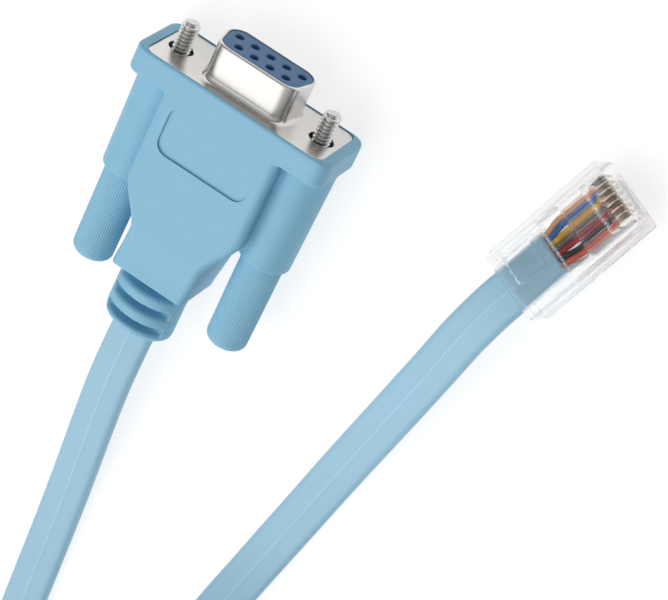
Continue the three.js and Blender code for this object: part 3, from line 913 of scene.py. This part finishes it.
def label_recess():
    """A shallow bare panel in the middle of the upper face."""
    half_length = (LABEL_BACK - LABEL_FRONT) / 2
    floor = FLANGE_HEIGHT / 2 - LABEL_DEPTH
    half_width = LABEL_HALF_WIDTH
    bm = box_bmesh(-half_width, half_width, -half_length, half_length, floor, floor + 2 * OVERCUT)
    bevel(bm, edges_along(bm, "z"), LABEL_CORNER, 10)
    return shifted(bm, y=-(LABEL_FRONT + LABEL_BACK) / 2)


def hood():
    """The moulding: its parts melted into one skin, then the plate's seat, the recess and the bores cut."""
    flange = rounded_bar(
        FLANGE_WIDTH,
        FLANGE_HEIGHT,
        -FLANGE_DEPTH,
        RIM_PROUD,
        FLANGE_CORNER,
        FLANGE_BACK_EDGE,
        FLANGE_FRONT_EDGE,
    )
    solid = joined([flange, hood_body(), sleeve(-1), sleeve(1), strain_relief()])
    bmesh.ops.scale(solid, vec=(MM, MM, MM), verts=solid.verts)
    remesh = {"mode": "VOXEL", "voxel_size": HOOD_VOXEL * MM, "use_smooth_shade": True}
    smooth = {"factor": 0.5, "iterations": HOOD_SMOOTHING}
    solid = modified(solid, [("REMESH", remesh), ("SMOOTH", smooth)])
    bmesh.ops.scale(solid, vec=(1 / MM,) * 3, verts=solid.verts)
    plate_seat = rounded_bar(
        PLATE_LENGTH + 2 * PLATE_FIT,
        PLATE_WIDTH + 2 * PLATE_FIT,
        -PLATE_THICKNESS - PLATE_SEAT_GAP,
        OVERCUT,
        PLATE_CORNER,
    )
    solid = cut(solid, [plate_seat, label_recess(), knob_room(-1), knob_room(1)])
    return cut(solid, [screw_hole(-1), screw_hole(1)])


def arc_points(centre, radius, start, end, steps):
    angles = [math.radians(start + (end - start) * k / steps) for k in range(steps + 1)]
    return [(centre[0] + radius * math.cos(a), centre[1] + radius * math.sin(a)) for a in angles]


def d_outline(inset):
    """The shell's D, its wide side down, drawn in from its outer face by a distance: x and z pairs."""
    z = SHELL_DEPTH / 2 - inset
    radius = SHELL_CORNER - inset
    slope = math.degrees(SHELL_SLOPE)
    middle = SHELL_LENGTH / 2 - SHELL_DEPTH / 2 * math.tan(SHELL_SLOPE) - inset / math.cos(SHELL_SLOPE)
    wide = middle + z * math.tan(SHELL_SLOPE)
    narrow = middle - z * math.tan(SHELL_SLOPE)
    upper = narrow - radius * math.tan(math.radians(45 - slope / 2))
    lower = wide - radius * math.tan(math.radians(45 + slope / 2))
    right = arc_points((upper, z - radius), radius, 90, slope, 10)
    right += arc_points((lower, radius - z), radius, slope, -90, 12)
    return right + [(-x, z) for x, z in reversed(right)]


def lofted(rings):
    """A closed tube of rings, each a list of places with as many points as the first."""
    bm = bmesh.new()
    loops = []
    for ring in rings:
        verts = [bm.verts.new(place) for place in ring]
        loops.append([bm.edges.new((verts[k - 1], verts[k])) for k in range(len(verts))])
    for first, second in zip(loops, loops[1:] + loops[:1]):
        bmesh.ops.bridge_loops(bm, edges=first + second)
    bmesh.ops.recalc_face_normals(bm, faces=bm.faces)
    return bm


def shell_collar():
    """The D-shaped collar: a flared root, a rounded front lip and a plain inner wall."""
    root = PLATE_THICKNESS / 2
    profile = [(-SHELL_FLARE, -root)]
    profile += arc_points((-SHELL_FLARE, SHELL_FLARE), SHELL_FLARE, -90, 0, 6)
    lip_y = SHELL_REACH - SHELL_LIP
    profile += [(0, lip_y / 2)]
    profile += arc_points((SHELL_LIP, lip_y), SHELL_LIP, 180, 90, 5)
    profile += [(SHELL_WALL, y) for y in (SHELL_REACH - SHELL_LIP_EDGE, lip_y, -root)]
    rings = [[(x, y, z) for x, z in d_outline(inset)] for inset, y in profile]
    return lofted(rings)


def metal_face():
    """The stamped plate with its two screw holes, and the collar that stands on it."""
    edge = PLATE_EDGE
    plate = rounded_bar(PLATE_LENGTH, PLATE_WIDTH, -PLATE_THICKNESS, 0, PLATE_CORNER, 0, edge, segments=10)
    profile = [
        (0, -2 * OVERCUT),
        (PLATE_HOLE, -2 * OVERCUT),
        (PLATE_HOLE, -PLATE_HOLE_EDGE),
        (PLATE_HOLE + PLATE_HOLE_EDGE, 0),
        (PLATE_HOLE + PLATE_HOLE_EDGE, OVERCUT),
        (0, OVERCUT),
    ]
    holes = [shifted(turned(profile, segments=64), side * SCREW_X) for side in (-1, 1)]
    outline = [(x, -2 * OVERCUT, z) for x, z in d_outline(SHELL_WALL / 2)]
    plate = cut(plate, [*holes, extruded(outline, (0, 4 * OVERCUT, 0))])
    return joined([plate, shell_collar()])


def contact_places():
    """The holes' middles: the long row below, the short row above."""
    places = []
    for count, z in ((WIDE_ROW, -ROW_PITCH / 2), (NARROW_ROW, ROW_PITCH / 2)):
        places += [((i - (count - 1) / 2) * CONTACT_PITCH, z) for i in range(count)]
    return places


def insulator():
    """The resin block inside the shell, with a small funnel at each contact's hole."""
    face_y = SHELL_REACH - INSULATOR_SET_BACK
    outline = [(x, -PLATE_THICKNESS, z) for x, z in d_outline(SHELL_WALL + INSULATOR_GAP)]
    bm = extruded(outline, (0, face_y + PLATE_THICKNESS, 0))
    bevel(bm, edges_at_y(bm, face_y), INSULATOR_EDGE, 3)
    profile = [
        (0, face_y + OVERCUT / 2),
        (CONTACT_SINK + CONTACT_SINK_EDGE, face_y + CONTACT_SINK_EDGE),
        (CONTACT_SINK, face_y),
        (CONTACT_HOLE, face_y - CONTACT_SINK_DEPTH),
        (CONTACT_HOLE, 0),
        (0, 0),
    ]
    holes = [shifted(turned(profile, segments=32), x, 0, z) for x, z in contact_places()]
    return cut(bm, holes)


def threaded_rod():
    """The screw: a shank and a thread whose ridge climbs round it, narrowed at its tip."""
    length = THREAD_TIP + THREAD_END
    bm = bmesh.new()
    bmesh.ops.create_cone(
        bm, cap_ends=True, segments=48, radius1=THREAD_RADIUS, radius2=THREAD_RADIUS, depth=length
    )
    moved(bm, Matrix.Rotation(math.radians(-90), 4, "X"))
    shifted(bm, y=(THREAD_TIP - THREAD_END) / 2)
    bmesh.ops.subdivide_edges(bm, edges=edges_along(bm, "y"), cuts=THREAD_CUTS, use_grid_fill=True)
    for vert in bm.verts:
        turn = math.atan2(vert.co.z, vert.co.x) / (2 * math.pi)
        phase = (vert.co.y / THREAD_PITCH + turn) % 1
        groove = smoothstep(abs(phase - 0.5) * 2, *THREAD_FLANK)
        point = 1 - smoothstep(THREAD_TIP - vert.co.y, 0, POINT_LENGTH)
        radius = THREAD_RADIUS - THREAD_DEPTH * groove - POINT_DEPTH * point
        flat = Vector((vert.co.x, 0, vert.co.z)).normalized() * radius
        vert.co.x, vert.co.z = flat.x, flat.z
    return joined([bm, rod(SHANK_RADIUS, -SHANK_BACK, -THREAD_END + SHANK_IN_THREAD, 32)])


def ribbed_knob():
    """The thumbscrew's grip: fine ribs along it, a rounded back end and a bore for the shank."""
    straight = -KNOB_BACK + KNOB_ROUNDING
    profile = [(0, -KNOB_BACK)]
    profile += arc_points((KNOB_BACK_RADIUS - KNOB_ROUNDING, straight), KNOB_ROUNDING, -90, 0, 8)
    for k in range(1, KNOB_STEPS + 1):
        share = k / KNOB_STEPS
        radius = KNOB_BACK_RADIUS + (KNOB_FRONT_RADIUS - KNOB_BACK_RADIUS) * share
        profile.append((radius, straight + (KNOB_BACK - KNOB_ROUNDING - KNOB_FRONT) * share))
    bore = SHANK_RADIUS + BORE_GAP
    bore_end = -KNOB_FRONT - BORE_DEPTH
    profile += [(bore, -KNOB_FRONT), (bore, bore_end), (0, bore_end)]
    bm = turned(profile, KNOB_RIB_COUNT * 4)
    for vert in bm.verts:
        radius = math.hypot(vert.co.x, vert.co.z)
        if radius < KNOB_BACK_RADIUS - KNOB_RIB_INNER:
            continue
        turn = math.atan2(vert.co.z, vert.co.x) * KNOB_RIB_COUNT
        fade = smoothstep(vert.co.y + KNOB_BACK, *KNOB_RIB_RUN_OUT)
        depth = KNOB_RIB_DEPTH * fade * (0.5 + 0.5 * math.cos(turn))
        vert.co.x *= 1 - depth / radius
        vert.co.z *= 1 - depth / radius
    return bm


def softened_box(x_low, x_high, y_low, y_high, z_low, z_high, corner):
    bm = box_bmesh(x_low, x_high, y_low, y_high, z_low, z_high)
    bevel(bm, bm.edges[:], corner, 3)
    return bm


def latch_arm(back, width):
    """One step of the latch: a tongue that leaves the plug's nose and slopes down towards its back."""
    under = -PLUG_HEIGHT / 2

    def depth(y):
        return under - (LATCH_ROOT - y) * LATCH_RISE

    side = [
        (LATCH_ROOT, under + LATCH_IN_BODY),
        (LATCH_ROOT, under - LATCH_THICKNESS / 2),
        (LATCH_ROOT - LATCH_BEND, depth(LATCH_ROOT - LATCH_BEND) - LATCH_THICKNESS),
        (back, depth(back) - LATCH_THICKNESS),
        (back, depth(back)),
        (LATCH_ROOT - LATCH_BEND_UNDER, depth(LATCH_ROOT - LATCH_BEND_UNDER)),
        (LATCH_ROOT - LATCH_FILLET, under + LATCH_IN_BODY),
    ]
    bm = extruded([(-width / 2, y, z) for y, z in side], (width, 0, 0))
    bevel(bm, bm.edges[:], LATCH_EDGE, 2)
    return bm


def blade_x(i):
    return (i - (WIRE_COUNT - 1) / 2) * WIRE_PITCH


def plug_housing():
    """The clear body with its latch, opened for the jacket, the wires, the crimps and the blades."""
    ends = (PLUG_EDGE, PLUG_EDGE)
    bm = rounded_bar(PLUG_WIDTH, PLUG_HEIGHT, 0, PLUG_LENGTH, PLUG_CORNER, *ends, segments=4)
    for back, width in LATCH_ARMS:
        bm = united(bm, latch_arm(back, width))
    above = PLUG_HEIGHT / 2 + OVERCUT
    mouth = (MOUTH_WIDTH, MOUTH_HEIGHT, -OVERCUT, MOUTH_DEPTH)
    openings = [rounded_bar(*mouth, MOUTH_CORNER, 0, MOUTH_EDGE, segments=4)]
    for x_low, x_high, y_low, y_high, floor in (JACKET_BAR, WIRE_BAR, FRONT_BAR):
        openings.append(softened_box(x_low, x_high, y_low, y_high, floor, above, BAR_EDGE))
    half = BLADE_THICKNESS / 2 + BLADE_ROOM
    slot = (BLADE_BACK - BLADE_ROOM, PLUG_LENGTH + OVERCUT, 0, above)
    openings += [box_bmesh(blade_x(i) - half, blade_x(i) + half, *slot) for i in range(WIRE_COUNT)]
    half = CHAMBER_HALF_WIDTH
    chamber = box_bmesh(-half, half, MOUTH_DEPTH - OVERCUT, CHAMBER_END, CHAMBER_LOW, CHAMBER_HIGH)
    return cut(cut(bm, openings), [chamber])


def wire(i):
    """A conductor from the jacket's end, fanned out and let down to its blade."""
    in_cable = blade_x(i) * WIRE_PITCH_IN_CABLE / WIRE_PITCH
    start = JACKET_IN_PLUG + WIRE_GAP
    rows = [
        (in_cable, start, 0, 0),
        (in_cable, start + WIRE_LEAD, 0, 0),
        (blade_x(i) + WIRE_SWAY[i], WIRE_BEND, -WIRE_DROP / 2, 0),
        (blade_x(i), WIRE_STRAIGHT, -WIRE_DROP, 0),
        (blade_x(i), WIRE_END, -WIRE_DROP, 0),
    ]
    last = 360 - 360 / WIRE_SEGMENTS
    section = arc_points((0, 0), WIRE_RADIUS, 0, last, WIRE_SEGMENTS - 1)
    return capped_tube(rings_along(smooth_route(rows, WIRE_STEP), section))


def blade(i):
    """One contact blade with its front upper corner rounded."""
    x = blade_x(i)
    half = BLADE_THICKNESS / 2
    bm = box_bmesh(x - half, x + half, BLADE_BACK, BLADE_FRONT, BLADE_LOW, BLADE_TOP)
    front = edges_at_y(bm, BLADE_FRONT)
    nose = [e for e in front if all(abs(v.co.z - BLADE_TOP) < EDGE_TOLERANCE for v in e.verts)]
    bevel(bm, nose, BLADE_CORNER, 6)
    return bm


def tie_band(degrees):
    """A vinyl band closed round the turns that pass at an angle, with a buckle on its outer side."""
    first = ((COIL_INNER_END - degrees) / 360) % 1
    count = math.floor(TURN_COUNT - first)
    width = count * TURN_PITCH + CABLE_THICKNESS + 2 * TIE_SLACK
    height = CABLE_WIDTH + 2 * TIE_SLACK
    grown = 2 * TIE_THICKNESS
    half = TIE_WIDTH / 2
    past = half + OVERCUT
    band = rounded_bar(width + grown, height + grown, -half, half, TIE_CORNER, TIE_EDGE, TIE_EDGE, segments=6)
    band = cut(band, [rounded_bar(width, height, -past, past, TIE_CORNER - TIE_THICKNESS, segments=6)])
    outer = width / 2 + TIE_THICKNESS
    buckle = softened_box(
        outer - TIE_THICKNESS / 2,
        outer + BUCKLE_DEPTH,
        -half - BUCKLE_LAP,
        half + BUCKLE_LAP,
        -BUCKLE_HEIGHT / 2,
        BUCKLE_HEIGHT / 2,
        TIE_EDGE * 2,
    )
    band = united(band, buckle)
    shifted(band, INNER_TURN_RADIUS + (first + count / 2) * TURN_PITCH, 0, COIL_HEIGHT)
    turn = Matrix.Rotation(math.radians(degrees), 4, "Z")
    return moved(band, Matrix.Translation((COIL_X, COIL_Y, 0)) @ turn)


def add_world():
    """The dome's grey by height, and the soft source round its own direction."""
    world = bpy.data.worlds.new("studio")
    world.use_nodes = True
    tree = world.node_tree
    direction = tree.nodes.new("ShaderNodeTexCoord").outputs["Generated"]

    def ramp(source, low, high, bottom, top):
        made = tree.nodes.new("ShaderNodeMapRange")
        made.interpolation_type = "SMOOTHSTEP"
        tree.links.new(source, made.inputs["Value"])
        for name, value in (("From Min", low), ("From Max", high), ("To Min", bottom), ("To Max", top)):
            made.inputs[name].default_value = value
        return made.outputs[0]

    split = tree.nodes.new("ShaderNodeSeparateXYZ")
    tree.links.new(direction, split.inputs["Vector"])
    towards = tree.nodes.new("ShaderNodeVectorMath")
    towards.operation = "DOT_PRODUCT"
    tree.links.new(direction, towards.inputs[0])
    towards.inputs[1].default_value = Vector(SOFTBOX_DIRECTION).normalized()
    (low, bottom), (high, top) = DOME_STOPS
    glossy = tree.nodes.new("ShaderNodeLightPath").outputs["Is Glossy Ray"]
    seen = ramp(glossy, 0, 1, 1, SOFTBOX_IN_REFLECTIONS)
    softbox = tree.nodes.new("ShaderNodeMath")
    softbox.operation = "MULTIPLY"
    tree.links.new(ramp(towards.outputs["Value"], *SOFTBOX_EDGE, 0, SOFTBOX_STRENGTH), softbox.inputs[0])
    tree.links.new(seen, softbox.inputs[1])
    light = tree.nodes.new("ShaderNodeMath")
    tree.links.new(ramp(split.outputs["Z"], low, high, bottom, top), light.inputs[0])
    tree.links.new(softbox.outputs[0], light.inputs[1])
    tree.links.new(light.outputs[0], tree.nodes["Background"].inputs["Strength"])
    tree.nodes["Background"].inputs["Color"].default_value = (1, 1, 1, 1)
    scene.world = world


def add_stage():
    """The floor, the studio's light and plain tone mapping."""
    bm = bmesh.new()
    bmesh.ops.create_grid(bm, x_segments=1, y_segments=1, size=2)
    floor = loose_object(bm, "floor")
    floor.data.materials.append(light_table("light_table"))
    add_world()
    scene.view_settings.view_transform = "Standard"


add_camera()

cable_bm, cable_line = cable()
cable_piece = finished(
    "flat_cable", cable_bm, cable_finish, ["cable_from_hood", "cable_coil", "cable_from_plug"]
)
ties = [
    finished(f"coil_band_{i + 1}", tie_band(angle), tie_finish, [f"coil_tie_{i + 1}"])
    for i, angle in enumerate(TIE_ANGLES)
]

finished("hood_moulding", hood(), hood_finish, ["hood"], place=connector_place)
finished("metal_face", metal_face(), steel_finish, ["metal_shell"], place=connector_place)
finished("contact_block", insulator(), insulator_finish, ["insulator"], place=connector_place)
for word, side in (("left", -1), ("right", 1)):
    place = connector_place @ Matrix.Translation((side * SCREW_X, 0, 0))
    body = f"thumbscrew_{word}"
    finished(f"grip_{word}", ribbed_knob(), knob_finish, [f"knob_{word}"], body, place=place)
    screw = [f"screw_{word}"]
    finished(f"thread_{word}", threaded_rod(), screw_finish, screw, body, 50, place)

for i in range(WIDE_ROW + NARROW_ROW):
    carried = frame["nodes"][f"socket_contact_{i + 1}"].data.materials
    carried.clear()
    carried.append(gold_finish)

on_cable = [
    *ties,
    finished("clear_plug", plug_housing(), clear_finish, ["plug_housing"], place=plug_place),
]
for i in range(WIRE_COUNT):
    n = i + 1
    insulation = wire_insulation(f"wire_{n}", linear(*WIRE_COLOURS[i]))
    on_cable += [
        finished(f"wire_{n}", wire(i), insulation, [f"conductor_{n}"], place=plug_place),
        finished(f"blade_{n}", blade(i), blade_finish, [f"contact_blade_{n}"], place=plug_place),
    ]

add_stage()
